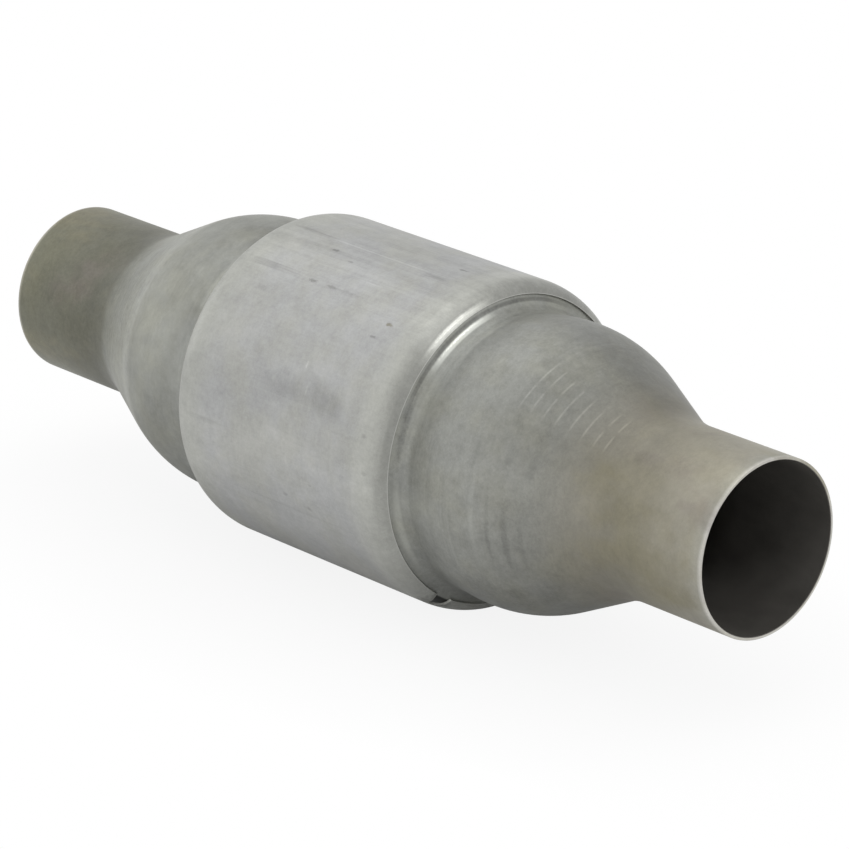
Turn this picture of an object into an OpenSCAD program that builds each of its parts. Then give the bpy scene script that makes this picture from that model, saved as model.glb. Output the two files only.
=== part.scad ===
// Round exhaust catalytic converter: a tube spun down at both ends to two pipe
// necks, a sheet jacket wrapped round its body, and a honeycomb brick held
// inside by a fibre mat and two wire seals. Millimetres. The axis is X, the gas
// runs along +X, +Z is up and the origin is the middle of the brick.

/* [Overall] */
// Length from one neck's edge to the other's
overall_len = 381; // [370:1:420]

/* [Necks] */
// Outside diameter of the exhaust pipe that slips into either neck
pipe_d = 63.5; // [56:0.1:70]
// Gap all round between that pipe and the neck
pipe_gap = 0.5; // [0.2:0.05:0.8]
// Radius of the bend from the cone into the neck
neck_bend = 40; // [25:1:48]
// Rounding of the neck's outer edge
edge_round = 0.4; // [0.2:0.05:0.6]
// Deburring of the neck's inner edge
edge_deburr = 0.2; // [0.1:0.05:0.4]

/* [Can] */
// Sheet thickness of the spun can
can_wall = 1.25; // [0.9:0.05:1.6]
// How far the can's straight middle runs past the flat top of each wire seal
seal_past = 0.1; // [0.05:0.05:1]
// Wide bend that starts each end's taper
taper_bend = 16; // [12:0.5:22]
// Angle that the wide bend turns
taper_angle = 21; // [16:1:26]
// Tight bend from the taper into the flank
shoulder_bend = 4.4; // [3.4:0.2:5.4]
// Angle of the flank that steps down from the shoulder
flank_angle = 60; // [52:1:64]
// Bend from the flank into the valley
valley_bend = 7; // [5:0.5:8]
// Depth of the valley beside the flank, below the can's straight middle
valley_depth = 8.8; // [8:0.1:12]
// Rise from the valley to the crest of the dome
crest_rise = 0.9; // [0.3:0.1:3]
// Distance from the valley to the crest
swell_len = 15.2; // [10:0.1:20]
// Radius of the dome beyond the crest
dome_bend = 60; // [45:1:70]
// Angle of the cone between the dome and the neck
cone_angle = 25.5; // [24:0.5:30]

/* [Jacket] */
// Outside diameter of the jacket
jacket_d = 127; // [124:0.5:132]
// Sheet thickness of the jacket
jacket_wall = 0.8; // [0.6:0.05:1]
// How far the jacket's rolled ends lie along the can's flanks
jacket_lip = 1.2; // [0.6:0.1:1.6]
// Angle of the seam, from the front, upwards positive
seam_angle = -58; // [-75:1:-45]
// Width of the seam's groove
seam_w = 0.6; // [0.4:0.1:1.2]
// Depth of the seam's groove
seam_depth = 0.3; // [0.15:0.05:0.4]
// Width of the relief notch where the seam meets a rolled end
notch_w = 8.4; // [4:0.2:12]
// Length of the relief notch along the axis
notch_len = 8.3; // [8:0.1:12]

/* [Brick] */
// Length of the honeycomb brick
brick_len = 101.6; // [80:0.2:120]
// Distance from one channel to the next
cell_pitch = 4.5; // [4.2:0.1:6]
// Thickness of the webs between the channels
cell_web = 0.65; // [0.5:0.05:1]
// Thickness of the brick's skin
brick_skin = 1.2; // [0.8:0.1:2]

/* [Mat] */
// Thickness of the fibre mat, squeezed between the brick and the can
mat_thick = 2.25; // [2:0.05:4]
// How far the mat ends short of each end of the brick
mat_inset = 6.5; // [5.9:0.05:15]
// Gap at the joint of the mat
joint_gap = 0.5; // [0.3:0.1:1]
// Width of the mat's tongue, along the axis
tongue_w = 32; // [20:1:44]
// Length of the mat's tongue, round the brick
tongue_len = 20; // [12:1:30]
// Angle of the mat's joint, from the front, upwards positive
joint_angle = 120; // [60:5:200]

/* [Seals] */
// Width of the wire seal at each end of the mat
seal_w = 5.4; // [4:0.1:5.8]
// Rounding of the wire seal's corners
seal_round = 0.9; // [0.4:0.1:0.95]

/* [Hidden] */

// Largest angle that one straight step of a bend covers
bend_step = 2.5;
// How far a cutter reaches past the face that it cuts
over = 1;

neck_end = overall_len / 2;
neck_r = pipe_d / 2 + pipe_gap + can_wall;
jacket_r = jacket_d / 2;
can_r = jacket_r - jacket_wall;
valley_r = can_r - valley_depth;
crest_r = valley_r + crest_rise;
bore_r = can_r - can_wall;
brick_r = bore_r - mat_thick;
mat_half = brick_len / 2 - mat_inset;
can_half = mat_half + seal_w - seal_round + seal_past;

// A direction that leans by an angle from straight out towards the neck
function lean(angle) = [sin(angle), cos(angle)];

// A bend is [centre, radius, first angle, last angle]. Its points are given as
// [distance along the axis, distance from the axis]. A bend whose centre lies
// outside the sheet has a negative radius, so one offset suits both kinds.
function bend_points(bend, offset) =
    let (steps = ceil(abs(bend[3] - bend[2]) / bend_step))
    [for (i = [0:steps])
        bend[0] + (bend[1] - offset) * lean(bend[2] + (bend[3] - bend[2]) * i / steps)];

// Where a straight line that leaves a point at an angle reaches a radius
function reach(point, angle, radius) =
    point + (point[1] - radius) * [1 / tan(angle), -1];

// Centre of the inward bend that takes a sloping line into a level one
function inward_centre(point, angle, radius, bend) =
    reach(point, angle, radius) + bend * [tan(angle / 2), 1];

// Bends of the can's outer face, from the middle outwards
taper_c = [can_half, can_r - taper_bend];
shoulder_c = taper_c + (taper_bend - shoulder_bend) * lean(taper_angle);
flank_start = shoulder_c + shoulder_bend * lean(flank_angle);
valley_c = inward_centre(flank_start, flank_angle, valley_r, valley_bend);
swell_bend = (pow(swell_len, 2) + pow(crest_rise, 2)) / (4 * crest_rise);
swell_angle = asin(swell_len / 2 / swell_bend);
crest_x = valley_c[0] + swell_len;
dome_c = [crest_x, crest_r - dome_bend];
cone_start = dome_c + dome_bend * lean(cone_angle);
neck_c = inward_centre(cone_start, cone_angle, neck_r, neck_bend);

can_bends = [
    [taper_c, taper_bend, 0, taper_angle],
    [shoulder_c, shoulder_bend, taper_angle, flank_angle],
    [valley_c, -valley_bend, flank_angle, 0],
    [[valley_c[0], valley_r + swell_bend], -swell_bend, 0, -swell_angle],
    [[crest_x, crest_r - swell_bend], swell_bend, -swell_angle, 0],
    [dome_c, dome_bend, 0, cone_angle],
    [neck_c, -neck_bend, cone_angle, 0]
];

function can_line(offset) = [for (bend = can_bends) each bend_points(bend, offset)];

// The jacket's ends are rolled over the can's shoulders and down its flanks
lip = jacket_lip * [cos(flank_angle), -sin(flank_angle)];
function jacket_line(offset) =
    concat(bend_points(can_bends[0], offset), bend_points(can_bends[1], offset),
        [flank_start - offset * lean(flank_angle) + lip]);
jacket_end = flank_start[0] + jacket_wall * sin(flank_angle) + lip[0];
notch_tip = jacket_end - notch_len;

function mirrored(points) = [for (i = [len(points) - 1:-1:0]) [-points[i][0], points[i][1]]];
function backwards(points) = [for (i = [len(points) - 1:-1:0]) points[i]];

// Turns an outline, given as [along the axis, from the axis], about X
module turned(outline) {
    rotate([0, 90, 0])
        rotate_extrude($fn = 180)
            polygon([for (point = outline) [point[1], point[0]]]);
}

// Turns its children from the front of the converter to an angle about X
module at_angle(angle) {
    rotate([-angle, 0, 0]) children();
}

module spun_can() {
    outer_edge = [neck_end - edge_round, neck_r - edge_round];
    outer = concat(can_line(0), bend_points([outer_edge, edge_round, 0, 90], 0));
    inner_r = neck_r - can_wall;
    inner = concat(can_line(can_wall),
        [[neck_end - edge_deburr, inner_r], [neck_end, inner_r + edge_deburr]]);
    color("darkgray") turned(concat(mirrored(outer), outer, backwards(inner),
        backwards(mirrored(inner))));
}

// Wedge-shaped cutter for the relief notch at one end of the seam
module relief_notch() {
    reach_x = notch_len + over;
    half_w = notch_w / 2 * reach_x / notch_len;
    translate([notch_tip, 0, 0])
        rotate([90, 0, 0])
            linear_extrude(jacket_r + over)
                polygon([[0, 0], [reach_x, -half_w], [reach_x, half_w]]);
}

module outer_jacket() {
    outer = jacket_line(-jacket_wall);
    inner = jacket_line(0);
    color("silver")
        difference() {
            turned(concat(mirrored(outer), outer, backwards(inner),
                backwards(mirrored(inner))));
            at_angle(seam_angle) {
                for (side = [0, 1]) mirror([side, 0, 0]) relief_notch();
                translate([-notch_tip - over, -jacket_r - over, -seam_w / 2])
                    cube([2 * (notch_tip + over), over + seam_depth, seam_w]);
            }
        }
}

module channels() {
    open_w = cell_pitch - cell_web;
    inside_r = brick_r - brick_skin;
    count = ceil(inside_r / cell_pitch);
    intersection() {
        circle(r = inside_r, $fn = 180);
        for (i = [-count:count], j = [-count:count])
            if (norm([i, j]) * cell_pitch < inside_r)
                translate([i, j] * cell_pitch) square(open_w, center = true);
    }
}

module substrate_brick() {
    color("tan")
        rotate([0, 90, 0])
            linear_extrude(brick_len, center = true)
                difference() {
                    circle(r = brick_r, $fn = 180);
                    channels();
                }
}

// A gap through the mat along the axis, between two places on it
module joint_slit(angle, from_x, to_x) {
    at_angle(angle)
        translate([from_x, -bore_r - over, -joint_gap / 2])
            cube([to_x - from_x, mat_thick + 2 * over, joint_gap]);
}

module support_mat() {
    tongue_turn = tongue_len / brick_r * 180 / PI;
    half_w = tongue_w / 2;
    color("gainsboro")
        difference() {
            turned([[-mat_half, brick_r], [mat_half, brick_r],
                [mat_half, bore_r], [-mat_half, bore_r]]);
            joint_slit(joint_angle, -mat_half - over, -half_w);
            joint_slit(joint_angle, half_w, mat_half + over);
            joint_slit(joint_angle + tongue_turn, -half_w, half_w);
            for (side = [-1, 1])
                translate([side * half_w, 0, 0])
                    at_angle(joint_angle)
                        rotate([0, 90, 0])
                            rotate([0, 0, -90])
                                rotate_extrude(angle = tongue_turn, $fn = 180)
                                    translate([brick_r - over, -joint_gap / 2])
                                        square([mat_thick + 2 * over, joint_gap]);
        }
}

// Ring of knitted wire, pressed flat between the brick and the can
module wire_seal(side) {
    corners = [
        [mat_half + seal_round, brick_r + seal_round, 180],
        [mat_half + seal_w - seal_round, brick_r + seal_round, 90],
        [mat_half + seal_w - seal_round, bore_r - seal_round, 0],
        [mat_half + seal_round, bore_r - seal_round, 270]
    ];
    outline = [for (c = corners)
        each backwards(bend_points([[c[0], c[1]], seal_round, c[2], c[2] + 90], 0))];
    color("dimgray") turned([for (point = outline) [side * point[0], point[1]]]);
}

module inlet_wire_seal() {
    wire_seal(-1);
}

module outlet_wire_seal() {
    wire_seal(1);
}

spun_can();
outer_jacket();
substrate_brick();
support_mat();
inlet_wire_seal();
outlet_wire_seal();
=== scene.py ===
import math

import bmesh
import bpy
from mathutils import Matrix, Vector


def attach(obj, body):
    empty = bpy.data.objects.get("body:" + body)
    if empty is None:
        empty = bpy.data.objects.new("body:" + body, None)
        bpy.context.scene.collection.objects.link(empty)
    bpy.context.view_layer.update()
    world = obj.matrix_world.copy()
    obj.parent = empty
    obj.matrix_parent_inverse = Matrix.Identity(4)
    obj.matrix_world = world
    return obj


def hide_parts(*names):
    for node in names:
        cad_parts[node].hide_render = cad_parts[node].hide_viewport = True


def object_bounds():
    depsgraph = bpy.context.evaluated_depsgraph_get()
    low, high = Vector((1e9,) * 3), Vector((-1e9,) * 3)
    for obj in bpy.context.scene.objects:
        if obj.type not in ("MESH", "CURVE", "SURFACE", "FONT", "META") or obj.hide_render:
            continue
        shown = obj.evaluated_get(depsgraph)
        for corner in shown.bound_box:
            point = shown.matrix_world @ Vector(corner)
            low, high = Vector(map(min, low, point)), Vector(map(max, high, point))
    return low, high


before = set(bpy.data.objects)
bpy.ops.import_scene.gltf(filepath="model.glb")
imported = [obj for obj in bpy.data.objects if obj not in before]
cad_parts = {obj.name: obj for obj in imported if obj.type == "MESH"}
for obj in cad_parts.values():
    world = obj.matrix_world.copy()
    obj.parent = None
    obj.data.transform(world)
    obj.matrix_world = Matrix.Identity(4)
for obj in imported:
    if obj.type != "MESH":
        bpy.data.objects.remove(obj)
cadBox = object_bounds()
mm = 0.001
mergeGap = 1e-6  # metres within which two points become one
sharpAngle = 30  # degrees from which an edge is shaded sharp


# Camera

camera = {
    "place": (1.2843, -1.1584, 0.6387),  # metres from the middle of the brick
    "tilt": 69.551,  # degrees up from straight down
    "heading": 47.66,  # degrees left of +Y
    "lens": 208.13,
    "sensor": 36,
    "farthest": 100,
}


def placeCamera():
    lens = bpy.data.cameras.new("photoCamera")
    lens.lens = camera["lens"]
    lens.sensor_width = camera["sensor"]
    lens.clip_end = camera["farthest"]
    holder = bpy.data.objects.new("photoCamera", lens)
    holder.location = camera["place"]
    holder.rotation_euler = (math.radians(camera["tilt"]), 0, math.radians(camera["heading"]))
    bpy.context.scene.collection.objects.link(holder)
    bpy.context.scene.camera = holder


placeCamera()
print("camera placed")


# Shader maths

class Link:
    # a node's output, so that maths on it reads as Python
    def __init__(self, owner, socket):
        self.owner = owner
        self.socket = socket

    def __add__(self, other):
        return self.owner.maths("ADD", self, other)

    __radd__ = __add__

    def __sub__(self, other):
        return self.owner.maths("SUBTRACT", self, other)

    def __rsub__(self, other):
        return self.owner.maths("SUBTRACT", other, self)

    def __mul__(self, other):
        return self.owner.maths("MULTIPLY", self, other)

    __rmul__ = __mul__

    def __truediv__(self, other):
        return self.owner.maths("DIVIDE", self, other)


class Nodes:
    # a node tree, and what adds nodes to it
    def __init__(self, tree):
        self.tree = tree

    def node(self, kind, settings={}, links={}, output=0):
        made = self.tree.nodes.new(kind)
        for key, value in settings.items():
            if key == "stops":
                self.setStops(made.color_ramp, value)
            else:
                setattr(made, key, value)
        for key, value in links.items():
            if isinstance(value, Link):
                self.tree.links.new(value.socket, made.inputs[key])
            else:
                made.inputs[key].default_value = value
        return Link(self, made.outputs[output])

    def setStops(self, ramp, stops):
        while len(ramp.elements) < len(stops):
            ramp.elements.new(0.5)
        for element, (position, color) in zip(ramp.elements, stops):
            element.position = position
            element.color = (*color, 1)

    def maths(self, operation, first, second=0.0):
        return self.node("ShaderNodeMath", {"operation": operation}, {0: first, 1: second})

    def seenAndMirrored(self):
        # 1 where the camera sees the surface, and 1 where metal or glass mirrors it
        path = self.node("ShaderNodeLightPath").socket.node.outputs
        glossy = Link(self, path["Is Glossy Ray"])
        through = Link(self, path["Is Transmission Ray"])
        return Link(self, path["Is Camera Ray"]), self.maths("MAXIMUM", glossy, through)


class Finish(Nodes):
    # one material, with the nodes that make its colour, gloss and fine relief
    def __init__(self, name, **constants):
        self.material = bpy.data.materials.new(name)
        self.material.use_nodes = True
        super().__init__(self.material.node_tree)
        self.shader = self.tree.nodes["Principled BSDF"]
        for words, value in constants.items():
            self.shader.inputs[words.replace("_", " ")].default_value = value
        self.place = self.node("ShaderNodeTexCoord", output="Object")
        split = self.node("ShaderNodeSeparateXYZ", links={0: self.place})
        self.along, across, up = [Link(self, out) * (1 / mm) for out in split.socket.node.outputs]
        self.fromMiddle = self.maths("ABSOLUTE", self.along)
        self.around = self.maths("ARCTAN2", up, across * -1) * math.degrees(1)  # 0 in front, 90 on top

    def rise(self, value, low, high):
        # 0 below low, 1 above high, smooth between them
        settings = {"interpolation_type": "SMOOTHSTEP"}
        return self.node("ShaderNodeMapRange", settings, {"Value": value, "From Min": low, "From Max": high})

    def band(self, value, middle, half, soft):
        # 1 within half of the middle, and 0 from soft further out
        away = self.maths("ABSOLUTE", value - middle)
        return 1 - self.rise(away, half, half + soft)

    def span(self, value, rising, falling):
        # 1 between two soft edges, each given by where it starts and ends
        return self.rise(value, *rising) * (1 - self.rise(value, *falling))

    def strip(self, distance, along, around):
        # a band along the axis that is also a band round it
        return self.band(distance, *along) * self.band(self.around, *around)

    def zones(self, value, stops):
        # colours that follow a value, in the value's own units
        low, high = stops[0][0], stops[-1][0]
        share = self.node("ShaderNodeMapRange", {}, {"Value": value, "From Min": low, "From Max": high})
        places = [((place - low) / (high - low), color) for place, color in stops]
        return self.node("ShaderNodeValToRGB", {"stops": places}, {0: share})

    def noise(self, scale, detail=4.0, rough=0.55, shift=0.0):
        # scale is in features a metre along X, Y and Z
        links = {"Vector": self.place, "Scale": scale, "Location": (shift, shift, shift)}
        spread = self.node("ShaderNodeMapping", {"vector_type": "POINT"}, links)
        links = {"Vector": spread, "Scale": 1.0, "Detail": detail, "Roughness": rough}
        return self.node("ShaderNodeTexNoise", {"noise_dimensions": "3D"}, links)

    def grain(self, *pattern):
        # noise around 0
        return self.noise(*pattern) - 0.5

    def blend(self, factor, first, second, how="MIX"):
        settings = {"data_type": "RGBA", "blend_type": how, "clamp_factor": True}
        colors = [c if isinstance(c, Link) else (*c, 1) for c in (first, second)]
        return self.node("ShaderNodeMix", settings, {0: factor, 6: colors[0], 7: colors[1]}, 2)

    def shade(self, color, amount):
        # a colour made lighter or darker by a number that varies over the surface
        grey = self.node("ShaderNodeCombineColor", {}, {0: amount, 1: amount, 2: amount})
        return self.blend(1.0, color, grey, "MULTIPLY")

    def tinted(self, color, amount, tint):
        # a colour multiplied by a tint, as far as the amount says
        return self.blend(1.0, color, self.blend(amount, (1, 1, 1), tint), "MULTIPLY")

    def relief(self, height, depth):
        # depth in millimetres
        links = {"Height": height, "Distance": depth * mm, "Strength": 1.0}
        self.feed("Normal", self.node("ShaderNodeBump", {}, links))

    def feed(self, words, link):
        self.tree.links.new(link.socket, self.shader.inputs[words])


def summed(amounts, **patterns):
    # the base amount, plus each pattern times its own amount
    total = amounts["base"]
    for name, pattern in patterns.items():
        total = amounts[name] * pattern + total
    return total


def spot(f, along, around, halfLength, halfAngle, ragged, core=0.3):
    # 1 in the middle of a patch on the round side, and 0 a little past its ragged edge
    across = (f.along - along) / halfLength
    turned = (f.around - around) / halfAngle
    away = f.maths("SQRT", across * across + turned * turned)
    return 1 - f.rise(away + ragged, core, 1.25)


def spots(f, rows, *edge):
    # patches added together, each as strong as the last number of its row
    total = 0
    for *place, strength in rows:
        total = spot(f, *place, *edge) * strength + total
    return total


def backOfTop(f):
    # 1 on the side of the top that faces away from the front
    return f.span(f.around, (80, 102), (125, 150))


def twoTone(name, look):
    # a finish of two colours that one pattern mixes, darker where the pattern is low
    f = Finish(name, Metallic=look["metal"], Roughness=look["rough"])
    pattern = f.noise(*look["pattern"])
    color = f.blend(pattern, look["low"], look["high"])
    f.feed("Base Color", f.shade(color, summed(look["tone"], pattern=pattern)))
    f.relief(pattern, look["depth"])
    return f.material


# Modelling helpers

def addObject(name, bm):
    mesh = bpy.data.meshes.new(name)
    bm.to_mesh(mesh)
    bm.free()
    made = bpy.data.objects.new(name, mesh)
    bpy.context.scene.collection.objects.link(made)
    return made


def newPiece(name, bm, material, node):
    bmesh.ops.remove_doubles(bm, verts=bm.verts, dist=mergeGap)
    bmesh.ops.recalc_face_normals(bm, faces=bm.faces)
    piece = addObject(name, bm)
    piece.data.shade_smooth()
    piece.data.materials.append(material)
    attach(piece, "root")
    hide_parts(node)
    return piece


def markSharp(piece):
    piece.data.set_sharp_from_angle(angle=math.radians(sharpAngle))


class Outline:
    # walks an outline in the XZ plane, X along the axis and Z away from it, in millimetres
    def __init__(self, bm, along, away, heading=0.0):
        self.bm = bm
        self.tip = bm.verts.new((along * mm, 0, away * mm))
        self.heading = heading  # degrees above +X

    def go(self, length, steps=1):
        ahead = Vector((math.cos(math.radians(self.heading)), 0, math.sin(math.radians(self.heading))))
        for step in range(steps):
            made = bmesh.ops.extrude_vert_indiv(self.bm, verts=[self.tip])["verts"]
            bmesh.ops.translate(self.bm, verts=made, vec=ahead * (length * mm / steps))
            self.tip = made[0]

    def bend(self, radius, degrees, steps=0):
        # turns by degrees, to the left where they are positive
        if radius > 0:
            side = math.radians(self.heading + math.copysign(90, degrees))
            centre = self.tip.co + Vector((math.cos(side), 0, math.sin(side))) * (radius * mm)
            steps = steps or max(2, math.ceil(abs(degrees) / 2))
            made = bmesh.ops.spin(self.bm, geom=[self.tip], cent=centre, axis=(0, -1, 0), dvec=(0, 0, 0),
                                  angle=math.radians(degrees), steps=steps)["geom_last"]
            self.tip = [v for v in made if isinstance(v, bmesh.types.BMVert)][0]
        self.heading += degrees

    def sinkTo(self, level, radius, steps=1):
        # goes straight down its slope, then bends level at that distance from the axis
        slope = math.radians(-self.heading)
        fall = self.tip.co.z / mm - level - radius * (1 - math.cos(slope))
        self.go(fall / math.sin(slope), steps)
        self.bend(radius, -self.heading)


def turnRound(bm, outline, steps):
    # spins an outline once about X
    bmesh.ops.spin(bm, geom=outline, cent=(0, 0, 0), axis=(1, 0, 0), dvec=(0, 0, 0),
                   angle=math.radians(360), steps=steps, use_merge=True)


def mirrorAndTurn(bm, steps):
    # mirrors the outline to -X and turns both halves
    geometry = bm.verts[:] + bm.edges[:]
    bmesh.ops.mirror(bm, geom=geometry, matrix=Matrix.Identity(4), merge_dist=mergeGap, axis="X")
    bmesh.ops.remove_doubles(bm, verts=bm.verts, dist=mergeGap)
    turnRound(bm, bm.verts[:] + bm.edges[:], steps)


def pushOut(bm, faces, way):
    # extrudes faces and moves the new ones
    grown = bmesh.ops.extrude_face_region(bm, geom=faces)["geom"]
    moved = [part for part in grown if isinstance(part, bmesh.types.BMVert)]
    bmesh.ops.translate(bm, verts=moved, vec=way)


# Spun can

can = {
    "length": (cadBox[1].x - cadBox[0].x) / mm,
    "neckRadius": 33.5,
    "wall": 1.25,
    "straight": 97.8,
    "radius": 62.7,
    "taperBend": 16,
    "taperAngle": 21,
    "shoulderBend": 4.4,
    "flankAngle": 60,
    "valleyBend": 7,
    "valleyRadius": 53.9,
    "crestRadius": 54.8,
    "swell": 15.2,
    "domeBend": 60,
    "coneAngle": 25.5,
    "neckBend": 40,
    "edgeRound": 0.4,
    "deburr": 0.2,
    "turnSteps": 192,
    "bodySteps": 12,
    "flankSteps": 2,
    "coneSteps": 8,
    "neckSteps": 8,
    "edgeSteps": 4,
    "inwards": -0.1,  # a face that leans from the axis by less than this is inside
}


def drawShoulder(line, inset):
    # from the middle of the body to the start of the flank
    line.go(can["straight"] / 2, can["bodySteps"])
    line.bend(can["taperBend"] - inset, -can["taperAngle"])
    line.bend(can["shoulderBend"] - inset, can["taperAngle"] - can["flankAngle"])


def drawCanSide(bm, inset, trim):
    # from the middle of the can to its mouth, less what the edge's rounding takes
    rise = can["crestRadius"] - can["valleyRadius"]
    swellBend = (can["swell"] ** 2 + rise ** 2) / (4 * rise)
    swellTurn = math.degrees(math.asin(can["swell"] / 2 / swellBend))
    line = Outline(bm, 0, can["radius"] - inset)
    drawShoulder(line, inset)
    line.sinkTo(can["valleyRadius"] - inset, can["valleyBend"] + inset, can["flankSteps"])
    line.bend(swellBend + inset, swellTurn)
    line.bend(swellBend - inset, -swellTurn)
    line.bend(can["domeBend"] - inset, -can["coneAngle"])
    line.sinkTo(can["neckRadius"] - inset, can["neckBend"] + inset, can["coneSteps"])
    line.go(can["length"] / 2 - trim - line.tip.co.x / mm, can["neckSteps"])
    return line


def makeSpunCan(material, inside):
    bm = bmesh.new()
    outer = drawCanSide(bm, 0, can["edgeRound"])
    outer.bend(can["edgeRound"], -90, can["edgeSteps"])
    inner = drawCanSide(bm, can["wall"], can["deburr"])
    inner.heading = 45
    inner.go(can["deburr"] * math.sqrt(2))
    bm.edges.new((outer.tip, inner.tip))
    mirrorAndTurn(bm, can["turnSteps"])
    piece = newPiece("canShell", bm, material, "spun_can")
    piece.data.materials.append(inside)
    for face in piece.data.polygons:
        outwards = Vector((0, face.center.y, face.center.z)).normalized()
        face.material_index = 1 if face.normal.dot(outwards) < can["inwards"] else 0
    markSharp(piece)
    return piece


canFinish = {
    "metal": 0.7,
    "zones": (  # distance along the axis in mm, and the steel's colour there
        (-190.4, (0.5, 0.49, 0.44)),
        (-190, (0.168, 0.168, 0.127)),
        (-150, (0.136, 0.136, 0.108)),
        (-137, (0.135, 0.136, 0.113)),
        (-131.5, (0.222, 0.227, 0.204)),
        (-122, (0.262, 0.267, 0.243)),
        (-108, (0.285, 0.29, 0.265)),
        # the lighter band up to -100.6 and the step at -99.4 are painted light along the left crease between
        # cone and dome
        (-104.5, (0.33, 0.335, 0.31)),
        (-100.6, (0.32, 0.325, 0.3)),
        (-99.4, (0.262, 0.267, 0.243)),
        (-57.5, (0.252, 0.257, 0.24)),
        (57.5, (0.252, 0.257, 0.24)),
        (88, (0.275, 0.28, 0.261)),
        (115, (0.225, 0.227, 0.207)),
        (134, (0.22, 0.21, 0.175)),
        (160, (0.262, 0.247, 0.196)),
        (184, (0.302, 0.288, 0.24)),
        (190, (0.33, 0.325, 0.285)),
        (190.3, (0.5, 0.49, 0.455)),
    ),
    "patterns": {  # features a metre along X, Y and Z, then detail, roughness and shift
        "cloud": ((32, 14, 14), 5, 0.6),
        "mottle": ((130, 110, 110), 4, 1.0),
        "smeared": ((260, 14, 14), 3, 0.55, 7.7),
        "lined": ((1000, 3, 3), 1),
        "worked": ((30, 22, 22), 3, 0.55, 0.3),
        "fine": ((1000 / 0.9, 9, 9), 2),
        "broad": ((1000 / 3.2, 5, 5), 2),
        "patchy": ((50, 32, 32), 4, 0.7, 2.9),
        "tint": ((20, 34, 34), 4, 0.6, 1.7),
        "warm": ((45, 45, 45), 3, 0.6, 6.4),
        "worn": ((12, 150, 150), 3, 0.55, 5.1),
        "soot": ((40, 60, 60), 4),
    },
    "leftDome": (-82, 16, 6),  # middle, half length and soft edge of the patchy dome, in mm
    "linedCone": (-118, 13, 6),  # where fine turned lines run all the way round
    "linedAmount": 1.6,
    "calmNeck": (112, 140),  # from where to where the mottle calms down
    "calmed": {"base": 0, "neck": 0.4, "dome": 0.35},
    "workedFrom": (0.46, 0.7),
    "heated": (118, 144),  # where the necks' heat tint starts, and where it is full
    "olive": {"color": (0.218, 0.2, 0.13), "amount": 0.5, "from": (0.5, 0.7)},
    "violet": {"color": (0.19, 0.165, 0.15), "amount": 0.4, "from": (0.3, 0.45)},
    "warmth": {"color": (1.0, 0.99, 0.94), "from": (0.38, 0.7)},
    "feedMarks": (101, 105.2, 109.8, 114.4, 119.5, 124.3, 129, 133),  # along the outlet cone
    "markWidth": (0.1, 0.45),
    "marksCatchLight": (60, 7, 9),
    "wornFrom": (0.36, 0.58),
    "burnished": ((59.7, 0.35, 0.7), (64, 7, 13)),  # the flank that the jacket's lip was rolled against: less rough, and brightened in colour as a painted highlight
    # a painted highlight on the flank and the valley bend
    "sheen": ((62.8, 2.8, 2.5), (61, 11, 16)),
    "gap": ((58.4, 0.2, 0.45), (75, 34, 22)),  # painted shade beside the lip
    "covered": (56.9, 57.3),  # under the jacket, painted shade where its notch shows it
    "coveredAmount": 0.88,
    "valley": ((62, 4, 4), (-60, 20)),
    "dulled": (104, 28, 14),  # painted shade high on the back of the outlet end
    "dulledAmount": 0.26,
    # painted shade arcs on the dome
    "arcs": (((105.6, 0.5, 1.4), (31, 7, 9)), ((114, 0.5, 1.8), (31, 7, 9))),
    "ragged": {"base": 0, "cloud": 1.6, "mottle": 0.6},
    "patches": (  # place along the axis in mm and round it in degrees, half length, half angle, how light
        (-82, 22, 17, 22, 0.2),
        # this row is painted light on the valley, and the next two are painted shade and painted light
        # beside the lip
        (63.5, 35, 5, 13, 0.14),
        (59.2, 25, 1.1, 19, -0.3),
        (59.2, -18, 1.1, 22, 0.3),
        (70, -8, 11, 9, 0.16),
        (88, -44, 34, 12, -0.14),
        (95, -2, 1.4, 26, 0.12),
        # these three rows are painted shade arcs on the dome
        (101, -8, 1.0, 17, -0.16),
        (107, -12, 1.3, 18, -0.18),
        (112.5, -14, 1.1, 14, -0.12),
        (150, 62, 14, 16, -0.1),
        (178, 42, 11, 14, 0.1),
    ),
    "tone": {"base": 0.85, "cloud": 0.3, "mottle": 0.85, "fine": 0.4, "broad": 0.25, "marks": 0.3,
             "burnished": 1.2, "sheen": 0.3, "gap": -0.42},
    # wear, with painted shade arcs and the patches' painted light and shade
    "wear": {"base": 0, "smeared": 0.7, "patchy": 0.9, "patches": 1, "arcs": -0.08},
    "rough": {"base": 0.4, "cloud": 0.18, "fine": 0.12, "burnished": -0.2, "marks": -0.08},
    "relief": {"base": 0, "fine": 0.5, "broad": 0.5, "mottle": 1},
    "depth": 0.12,
    "soot": {"color": (0.138, 0.131, 0.119), "metal": 0.6, "tone": {"base": 0.6, "soot": 0.8},
             "rough": {"base": 0.42, "soot": 0.2}},
}


def feedMarks(f):
    # the spinning roller's marks, worn, as painted highlights where they catch the light
    marks = 0
    for place in canFinish["feedMarks"]:
        marks = f.band(f.along, place, *canFinish["markWidth"]) + marks
    worn = f.rise(f.noise(*canFinish["patterns"]["worn"]), *canFinish["wornFrom"])
    return marks * worn * f.band(f.around, *canFinish["marksCatchLight"])


def heatTint(f, color):
    # olive and violet clouds on the necks
    heated = f.rise(f.fromMiddle, *canFinish["heated"])
    tint = f.noise(*canFinish["patterns"]["tint"])
    olive, violet = canFinish["olive"], canFinish["violet"]
    color = f.blend(f.rise(tint, *olive["from"]) * heated * olive["amount"], color, olive["color"])
    low = 1 - f.rise(tint, *violet["from"])
    return f.blend(low * heated * violet["amount"], color, violet["color"])


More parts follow.
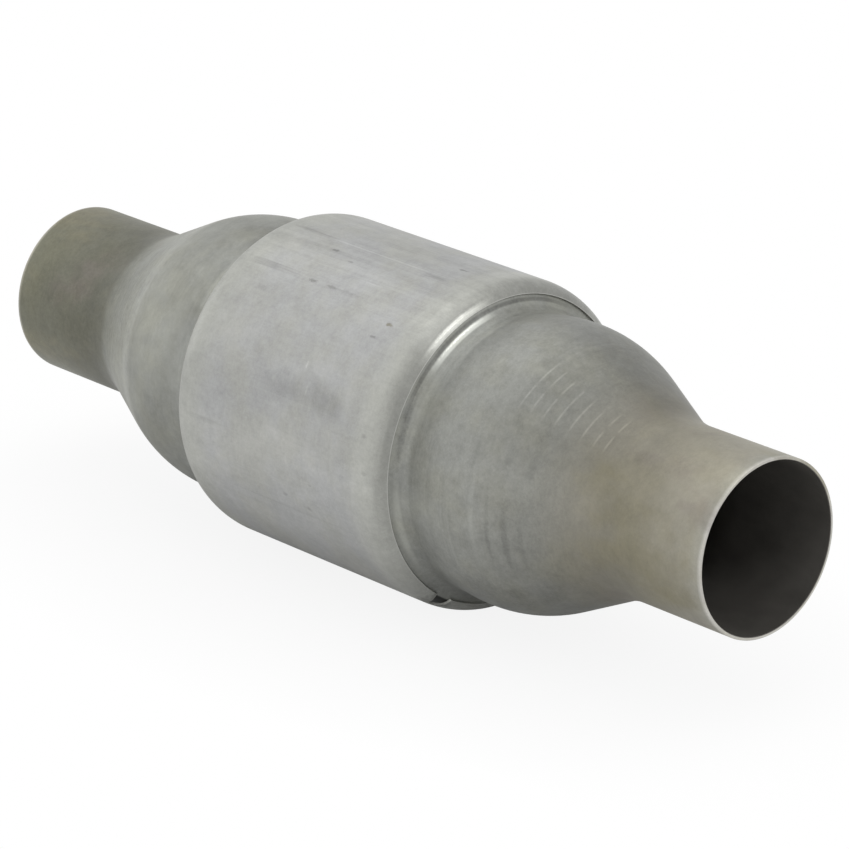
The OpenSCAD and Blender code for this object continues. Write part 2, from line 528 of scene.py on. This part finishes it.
def canSteel():
    f = Finish("spunSteel", Metallic=canFinish["metal"])
    patterns = canFinish["patterns"]
    leftDome = f.band(f.along, *canFinish["leftDome"])
    calmed = summed(canFinish["calmed"], neck=f.rise(f.along, *canFinish["calmNeck"]), dome=leftDome)
    cloud = f.noise(*patterns["cloud"])
    mottle = f.grain(*patterns["mottle"]) * (1 - calmed)
    worked = f.rise(f.noise(*patterns["worked"]), *canFinish["workedFrom"])  # where the roller left lines
    lined = f.band(f.along, *canFinish["linedCone"]) * f.grain(*patterns["lined"])
    fine = f.grain(*patterns["fine"]) * worked + lined * canFinish["linedAmount"]
    broad = f.grain(*patterns["broad"]) * worked
    marks = feedMarks(f)

    # the shoulder, from under the jacket to the valley, with painted highlights on the flank and painted
    # shade beside the lip and under the jacket
    burnished = f.strip(f.fromMiddle, *canFinish["burnished"])
    sheen = f.strip(f.fromMiddle, *canFinish["sheen"])
    gap = f.strip(f.fromMiddle, *canFinish["gap"])
    covered = 1 - f.rise(f.fromMiddle, *canFinish["covered"])
    valleyPlace, valleyFront = canFinish["valley"]
    valley = f.band(f.fromMiddle, *valleyPlace) * f.rise(f.around, *valleyFront)

    warmth = canFinish["warmth"]
    color = heatTint(f, f.zones(f.along, canFinish["zones"]))
    color = f.tinted(color, f.rise(f.noise(*patterns["warm"]), *warmth["from"]), warmth["color"])
    tone = summed(canFinish["tone"], cloud=cloud, mottle=mottle, fine=fine, broad=broad, marks=marks,
                  burnished=burnished, sheen=sheen, gap=gap)
    ragged = summed(canFinish["ragged"], cloud=cloud - 0.5, mottle=mottle)
    firstArc, secondArc = [f.strip(f.along, *place) for place in canFinish["arcs"]]
    wear = summed(canFinish["wear"], smeared=valley * f.grain(*patterns["smeared"]),
                  patchy=leftDome * f.grain(*patterns["patchy"]),
                  patches=spots(f, canFinish["patches"], ragged), arcs=firstArc + secondArc)
    # painted shade high on the back of the outlet end
    dulled = f.band(f.along, *canFinish["dulled"]) * backOfTop(f)
    tone = tone * (1 - canFinish["coveredAmount"] * covered) + wear
    f.feed("Base Color", f.shade(color, tone * (1 - canFinish["dulledAmount"] * dulled)))
    f.feed("Roughness", summed(canFinish["rough"], cloud=cloud, fine=fine, burnished=burnished, marks=marks))
    f.relief(summed(canFinish["relief"], fine=fine, broad=broad, mottle=mottle), canFinish["depth"])
    return f.material


def sootySteel():
    # the inside of the can
    look = canFinish["soot"]
    f = Finish("sootySteel", Metallic=look["metal"])
    soot = f.noise(*canFinish["patterns"]["soot"])
    f.feed("Base Color", f.shade(look["color"], summed(look["tone"], soot=soot)))
    f.feed("Roughness", summed(look["rough"], soot=soot))
    return f.material


# Outer jacket

jacket = {
    "wall": 0.78,
    "lip": 1.2,
    "seamAngle": -58,
    "seamWidth": 0.6,
    "seamDepth": 0.3,
    "notchWidth": 8.4,
    "notchLength": 8.3,
    "turnSteps": 192,
    "wedgeFrom": 50,  # the notch's cutter starts this far from the axis
    "wedgeDepth": 20,
    "pastEnd": 2,  # how far a cutter reaches past what it cuts
}


def makeJacket(material):
    bm = bmesh.new()
    tips = []
    for inset in (-jacket["wall"], 0):
        line = Outline(bm, 0, can["radius"] - inset)
        drawShoulder(line, inset)
        line.go(jacket["lip"])
        tips.append(line.tip)
    bm.edges.new(tips)
    mirrorAndTurn(bm, jacket["turnSteps"])
    piece = newPiece("jacketSheet", bm, material, "outer_jacket")
    cutSeam(piece)
    markSharp(piece)
    return piece


def cutSeam(piece):
    # the groove of the seam, and the relief notch where it meets each rolled end
    bm = bmesh.new()
    end = max(vert.co.x for vert in piece.data.vertices)
    tip = end - jacket["notchLength"] * mm
    past = jacket["pastEnd"] * mm
    for side in (1, -1):
        widest = jacket["notchWidth"] / 2 * mm * (end + past - tip) / (end - tip)
        corners = [(tip, 0), (end + past, -widest), (end + past, widest)]
        low = [bm.verts.new((side * x, -jacket["wedgeFrom"] * mm, z)) for x, z in corners]
        pushOut(bm, [bm.faces.new(low)], (0, -jacket["wedgeDepth"] * mm, 0))
    made = bmesh.ops.create_cube(bm, size=1)["verts"]
    groove = Vector((2 * tip + past, past, jacket["seamWidth"] * mm))
    bmesh.ops.scale(bm, verts=made, vec=groove)
    outside = (can["radius"] + jacket["wall"] - jacket["seamDepth"]) * mm + groove.y / 2
    bmesh.ops.translate(bm, verts=made, vec=(0, -outside, 0))
    bmesh.ops.recalc_face_normals(bm, faces=bm.faces)
    turn = Matrix.Rotation(math.radians(-jacket["seamAngle"]), 4, "X")
    bmesh.ops.transform(bm, matrix=turn, verts=bm.verts)
    cutter = addObject("seamCutter", bm)
    cut = piece.modifiers.new("seam", "BOOLEAN")
    cut.operation = "DIFFERENCE"
    cut.solver = "EXACT"
    cut.use_self = True
    cut.object = cutter
    applyModifiers(piece)
    bpy.data.objects.remove(cutter)


def applyModifiers(piece):
    shown = piece.evaluated_get(bpy.context.evaluated_depsgraph_get())
    finished = bpy.data.meshes.new_from_object(shown)
    piece.modifiers.clear()
    piece.data = finished


jacketFinish = {
    "metal": 0.7,
    "cool": (0.382, 0.386, 0.382),
    "warm": (0.382, 0.384, 0.362),
    "warmFrom": (0.36, 0.64),
    "green": {"color": (0.385, 0.389, 0.358), "amount": 0.8, "from": (36, 50)},  # towards both ends
    "rust": {"color": (0.14, 0.12, 0.06), "amount": 0.6, "place": (35, 54, 2.0, 0.7)},
    # the specks' dark colour, also used for the painted shade in the seam's notch
    "grime": (0.1, 0.098, 0.09),
    # the sheet's cut edge, lighter as bare steel and as a painted highlight
    "bare": {"color": (0.62, 0.62, 0.59), "amount": 0.45, "from": (57.95, 58.12), "above": (-48, -40)},
    "patterns": {  # features a metre along X, Y and Z, then detail, roughness and shift
        "cloud": ((20, 28, 28), 5, 0.6),
        "mottle": ((75, 75, 75), 5, 1.0, 3.3),
        "hue": ((45, 45, 45), 3, 0.6, 4.2),
        "drawn": ((6, 900, 900), 3),
        "scuffed": ((12, 160, 160), 4, 0.55, 2.1),
        "ringed": ((1200, 10, 10), 2),
        "ragged": ((800, 800, 800), 3),
        "combed": ((40, 900, 900), 3),
        "strokes": ((1500, 240, 240), 3, 0.8, 0.9),
        "rubEdge": ((110, 90, 90), 4),
        "rubEndEdge": ((260, 120, 120), 4),
    },
    "raggedness": {"specks": 1.8, "streaks": 2.5, "rub": 2},
    "specks": (  # place along the axis in mm and round it in degrees, half length, half angle, how dark
        (34.5, 90, 2.4, 0.8, 0.5),
        (-19, 76, 2.2, 0.7, 0.5),
        (-7, 73, 1.5, 0.5, 0.35),
        (32, 48, 2.2, 0.6, 0.42),
        (-33, 51, 3.4, 1.2, 0.16),
        (-13, 60, 2.6, 0.8, 0.5),
        (-3, 60, 3.4, 0.7, 0.34),
        (6, 60, 6.0, 0.9, 0.18),
        (47.5, 16, 1.6, 0.8, 0.26),
        (50, 4, 1.6, 1.0, 0.22),
        (4, -15.5, 1.6, 0.8, 0.24),
        (16.5, -18, 1.6, 0.8, 0.24),
        (19.5, -8, 1.2, 0.6, 0.18),
        # painted shade in the seam's notch
        (55, -58, 7, 7, 0.6),
    ),
    "streaks": (  # as the specks, longer, and below 0 where lighter than the sheet
        (-36, 60.5, 15, 1.5, 0.3),
        (-38, 82, 12, 1.2, 0.3),
        (31, 80.2, 8, 1.3, 0.34),
        (0, 90, 12, 1.6, 0.2),
        (0, 81.6, 46, 0.5, -0.24),
        (-6, 67.5, 44, 0.3, -0.06),
        (12, 67.5, 9, 0.4, 0.14),
        (13, 66.8, 8, 0.3, -0.14),
        (0, -21, 46, 0.5, 0.1),
        (-38, 1, 13, 1.0, 0.16),
        (8.8, 31.5, 0.5, 1.4, -0.26),
        (13, 23.5, 0.5, 2.0, -0.16),
    ),
    "rub": (15, 22, 24, 6.5),
    "rubEnd": (26, 22.5, 8, 6),
    "rubStrokes": {"base": 0.6, "strokes": 0.4},
    "rubbed": {"base": 0, "rub": 1, "end": 0.4},
    "rubAmount": 0.22,
    "upper": (50, 66),  # degrees, from where the sheet is scuffed
    "tone": {"base": 0.81, "cloud": 0.36, "mottle": 0.65, "drawn": 0.1, "drawnAbove": 0.12,
             "scuffedAbove": 0.4, "ringed": 0.06},
    "lit": (65, 8, 10),  # degrees, where the rolled end is bright
    "unlit": {"base": 0, "back": 0.18, "end": 0.1, "endInFront": 0.24},
    "backFrom": (49, 56),
    "endFrom": (51, 57.5),
    "front": ((-28, 2), (42, 54)),
    # painted shade above 0 and painted highlights below 0: on the rolled end, its lit band, the top and the
    # lower front
    "dulled": {"base": 0, "unlit": 1, "top": 0.06, "shoulder": -0.12, "crease": 0.14, "brow": -0.35,
               "lower": -0.1, "ring": -0.06},
    "top": (64, 84),
    "shoulder": (47, 52),
    "crease": (56.4, 0.2, 0.4),
    "brow": (57.6, 0.2, 0.25),
    "lower": (-14, 12, 16),
    "ring": (46.5, 3, 3),
    "rolled": (54.5, 56.5),
    "rough": {"base": 0.42, "cloud": 0.14, "rolled": -0.14},
    "relief": {"base": 0, "drawn": 0.4, "ringed": 0.2, "mottle": 1.5, "rubbed": -0.4},
    "depth": 0.08,
}


def rubbedPatch(f):
    # a smudge of fine strokes round the part, stronger at one end
    patterns, raggedness = jacketFinish["patterns"], jacketFinish["raggedness"]["rub"]
    strokes = summed(jacketFinish["rubStrokes"], strokes=f.noise(*patterns["strokes"]))
    rub = spot(f, *jacketFinish["rub"], f.grain(*patterns["rubEdge"]) * raggedness, 0)
    end = spot(f, *jacketFinish["rubEnd"], f.grain(*patterns["rubEndEdge"]) * raggedness, 0)
    return summed(jacketFinish["rubbed"], rub=rub * strokes, end=end)


def dulledEnds(f):
    # painted shade, and painted highlights where it is below 0, mostly where the sheet's outlet end was
    # rolled in
    end = f.rise(f.along, *jacketFinish["endFrom"])
    back = f.rise(f.along, *jacketFinish["backFrom"]) * backOfTop(f)
    front = f.span(f.around, *jacketFinish["front"])
    unlit = summed(jacketFinish["unlit"], back=back, end=end, endInFront=end * front)
    lit = f.band(f.around, *jacketFinish["lit"])
    return summed(
        jacketFinish["dulled"],
        unlit=unlit * (1 - lit),
        top=f.rise(f.around, *jacketFinish["top"]),
        shoulder=lit * f.rise(f.along, *jacketFinish["shoulder"]),
        crease=lit * f.band(f.along, *jacketFinish["crease"]),
        brow=lit * f.band(f.along, *jacketFinish["brow"]),
        lower=f.band(f.around, *jacketFinish["lower"]),
        ring=f.band(f.along, *jacketFinish["ring"]),
    )


def jacketSteel():
    f = Finish("jacketSteel", Metallic=jacketFinish["metal"])
    patterns, raggedness = jacketFinish["patterns"], jacketFinish["raggedness"]
    cloud = f.noise(*patterns["cloud"])
    mottle = f.grain(*patterns["mottle"])
    drawn = f.grain(*patterns["drawn"])
    ringed = f.grain(*patterns["ringed"])
    ragged = f.grain(*patterns["ragged"]) * raggedness["specks"]
    combed = f.grain(*patterns["combed"]) * raggedness["streaks"]
    rubbed = rubbedPatch(f)
    upper = f.rise(f.around, *jacketFinish["upper"])

    green, rust, bare = jacketFinish["green"], jacketFinish["rust"], jacketFinish["bare"]
    warmer = f.rise(f.noise(*patterns["hue"]), *jacketFinish["warmFrom"])
    color = f.blend(warmer, jacketFinish["cool"], jacketFinish["warm"])
    color = f.blend(f.rise(f.fromMiddle, *green["from"]) * green["amount"], color, green["color"])
    color = f.blend(spot(f, *rust["place"], ragged) * rust["amount"], color, rust["color"])
    tone = summed(jacketFinish["tone"], cloud=cloud, mottle=mottle, drawn=drawn, drawnAbove=upper * drawn,
                  scuffedAbove=upper * f.grain(*patterns["scuffed"]), ringed=ringed)
    dark = spots(f, jacketFinish["specks"], ragged) + spots(f, jacketFinish["streaks"], combed, 0)
    lighter = 1 - f.maths("MINIMUM", dark, 0)
    rubbedAway = 1 - jacketFinish["rubAmount"] * rubbed
    color = f.shade(color, tone * (1 - dulledEnds(f)) * rubbedAway * lighter)
    color = f.blend(f.maths("MAXIMUM", dark, 0), color, jacketFinish["grime"])
    # the cut edge of the lip, lighter as bare steel and as a painted highlight
    bareEdge = f.rise(f.fromMiddle, *bare["from"]) * f.rise(f.around, *bare["above"])
    f.feed("Base Color", f.blend(bareEdge * bare["amount"], color, bare["color"]))
    rolled = f.rise(f.fromMiddle, *jacketFinish["rolled"])
    f.feed("Roughness", summed(jacketFinish["rough"], cloud=cloud, rolled=rolled))
    relief = summed(jacketFinish["relief"], drawn=drawn, ringed=ringed, mottle=mottle, rubbed=rubbed)
    f.relief(relief, jacketFinish["depth"])
    return f.material


# Honeycomb brick

brick = {
    "radius": 59.2,
    "length": 101.6,
    "pitch": 1.8,
    "web": 0.3,
    "skin": 1.2,
    "skinOverlap": 0.1,
    "skinSteps": 4,
    "turnSteps": 144,
}

brickFinish = {
    "metal": 0,
    "rough": 0.9,
    "pattern": ((500, 500, 500), 3),
    "low": (0.32, 0.265, 0.2),
    "high": (0.4, 0.335, 0.26),
    "tone": {"base": 0.8, "pattern": 0.4},
    "depth": 0.05,
}


def makeBrick(material):
    bm = bmesh.new()
    inside = (brick["radius"] - brick["skin"]) * mm
    pitch, length = brick["pitch"] * mm, brick["length"] * mm
    count = 2 * math.ceil(inside / pitch)
    bmesh.ops.create_grid(bm, x_segments=count, y_segments=count, size=count * pitch / 2)
    spare = [f for f in bm.faces if f.calc_center_median().length > inside]
    bmesh.ops.delete(bm, geom=spare, context="FACES")
    webs = bmesh.ops.inset_individual(bm, faces=bm.faces[:], thickness=brick["web"] * mm / 2,
                                      use_even_offset=True)["faces"]
    channels = [f for f in bm.faces if f not in set(webs)]
    bmesh.ops.delete(bm, geom=channels, context="FACES")
    for vert in bm.verts:
        vert.co *= min(1, inside / max(vert.co.length, mm))  # draws the rim in to the skin
    pushOut(bm, bm.faces[:], (0, 0, length))
    bmesh.ops.translate(bm, verts=bm.verts, vec=(0, 0, -length / 2))
    bmesh.ops.rotate(bm, verts=bm.verts, matrix=Matrix.Rotation(math.radians(90), 3, "Y"))
    addSkin(bm)
    piece = newPiece("honeycombBrick", bm, material, "substrate_brick")
    markSharp(piece)
    return piece


def addSkin(bm):
    # the solid wall round the channels
    before = set(bm.verts)
    half = brick["length"] / 2
    line = Outline(bm, -half, brick["radius"])
    first = line.tip
    line.go(2 * half, brick["skinSteps"])
    line.heading = -90
    line.go(brick["skin"] + brick["skinOverlap"])
    line.heading = 180
    line.go(2 * half)
    bm.edges.new((line.tip, first))
    fresh = [v for v in bm.verts if v not in before]
    rims = [e for e in bm.edges if e.verts[0] in fresh]
    turnRound(bm, fresh + rims, brick["turnSteps"])


# Fibre mat and wire seals, which keep their solids

matFinish = {
    "metal": 0,
    "rough": 0.95,
    "pattern": ((300, 500, 500), 6),
    "low": (0.62, 0.58, 0.5),
    "high": (0.75, 0.73, 0.68),
    "tone": {"base": 0.7, "pattern": 0.5},
    "depth": 0.3,
}

sealFinish = {
    "metal": 0.9,
    "rough": 0.4,
    "pattern": ((700, 700, 700), 2),
    "low": (0.3, 0.3, 0.3),
    "high": (0.5, 0.5, 0.5),
    "tone": {"base": 0.6, "pattern": 0.6},
    "depth": 0.3,
}


def finishNode(name, material):
    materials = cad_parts[name].data.materials
    materials.clear()
    materials.append(material)


makeSpunCan(canSteel(), sootySteel())
print("can made")
makeJacket(jacketSteel())
print("jacket made")
makeBrick(twoTone("coatedCeramic", brickFinish))
print("brick made")
finishNode("support_mat", twoTone("fibreMat", matFinish))
finishNode("inlet_wire_seal", twoTone("knittedWire", sealFinish))
finishNode("outlet_wire_seal", twoTone("knittedWire", sealFinish))
print("mat and seals finished")


# Floor and lamps

studio = {
    "floorSize": 30,
    "floorColor": (0.8, 0.8, 0.8),
    "floorRough": 0.9,
    "shadowReach": 0.09,
    "shadowRays": 8,
    "shadowSeen": 0.12,  # how much the part darkens the floor where the camera sees it
    "shadowMirrored": 0.9,
    "worldGrey": 0.9,
    "lamps": {
        "highlight": {"place": (0.95, 0.13, 0.91), "size": 0.46, "power": 2.5},
        "overhead": {"place": (-0.95, 0.14, 1.86), "size": 1.2, "power": 3.9},
        "front": {"place": (0.2, -2.6, 0.25), "size": 1.6, "power": 5.2},
        "left": {"place": (-3.0, -0.9, 1.3), "size": 2.6, "power": 7.5},
    },
}


def makeFloor():
    bm = bmesh.new()
    bmesh.ops.create_grid(bm, x_segments=1, y_segments=1, size=studio["floorSize"] / 2)
    bmesh.ops.translate(bm, verts=bm.verts, vec=(0, 0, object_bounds()[0].z))
    floor = addObject("floor", bm)
    floor.data.materials.append(floorWhite())


def floorWhite():
    # white to the camera and in mirrors, apart from a painted shadow of the part
    f = Finish("floorWhite", Roughness=studio["floorRough"])
    f.shader.inputs["Base Color"].default_value = (*studio["floorColor"], 1)
    clear = f.node("ShaderNodeAmbientOcclusion", {"samples": studio["shadowRays"]},
                   {"Distance": studio["shadowReach"]}, "AO")
    seen, mirrored = f.seenAndMirrored()
    shadow = studio["shadowSeen"] * seen + studio["shadowMirrored"] * mirrored
    white = f.node("ShaderNodeEmission", {}, {"Strength": 1 - (1 - clear) * shadow})
    shown = f.maths("MAXIMUM", seen, mirrored)
    both = f.node("ShaderNodeMixShader", {}, {0: shown, 1: Link(f, f.shader.outputs[0]), 2: white})
    f.tree.links.new(both.socket, f.tree.nodes["Material Output"].inputs["Surface"])
    return f.material


def lightWorld():
    # plain grey light, and white where the camera or a mirror sees it
    world = bpy.data.worlds.new("studio")
    world.use_nodes = True
    nodes = Nodes(world.node_tree)
    shown = nodes.maths("MAXIMUM", *nodes.seenAndMirrored())
    links = {"Value": shown, "To Min": studio["worldGrey"], "To Max": 1}
    strength = nodes.node("ShaderNodeMapRange", {}, links)
    background = nodes.tree.nodes["Background"]
    background.inputs["Color"].default_value = (1, 1, 1, 1)
    nodes.tree.links.new(strength.socket, background.inputs["Strength"])
    bpy.context.scene.world = world


def hangLamps():
    for name, lamp in studio["lamps"].items():
        light = bpy.data.lights.new(name, "AREA")
        light.shape = "DISK"
        light.size = lamp["size"]
        light.energy = lamp["power"]
        holder = bpy.data.objects.new(name, light)
        holder.location = lamp["place"]
        holder.rotation_euler = (-Vector(lamp["place"])).to_track_quat("-Z", "Y").to_euler()
        bpy.context.scene.collection.objects.link(holder)


makeFloor()
lightWorld()
hangLamps()
bpy.context.scene.view_settings.view_transform = "Standard"
print("floor and lamps set")
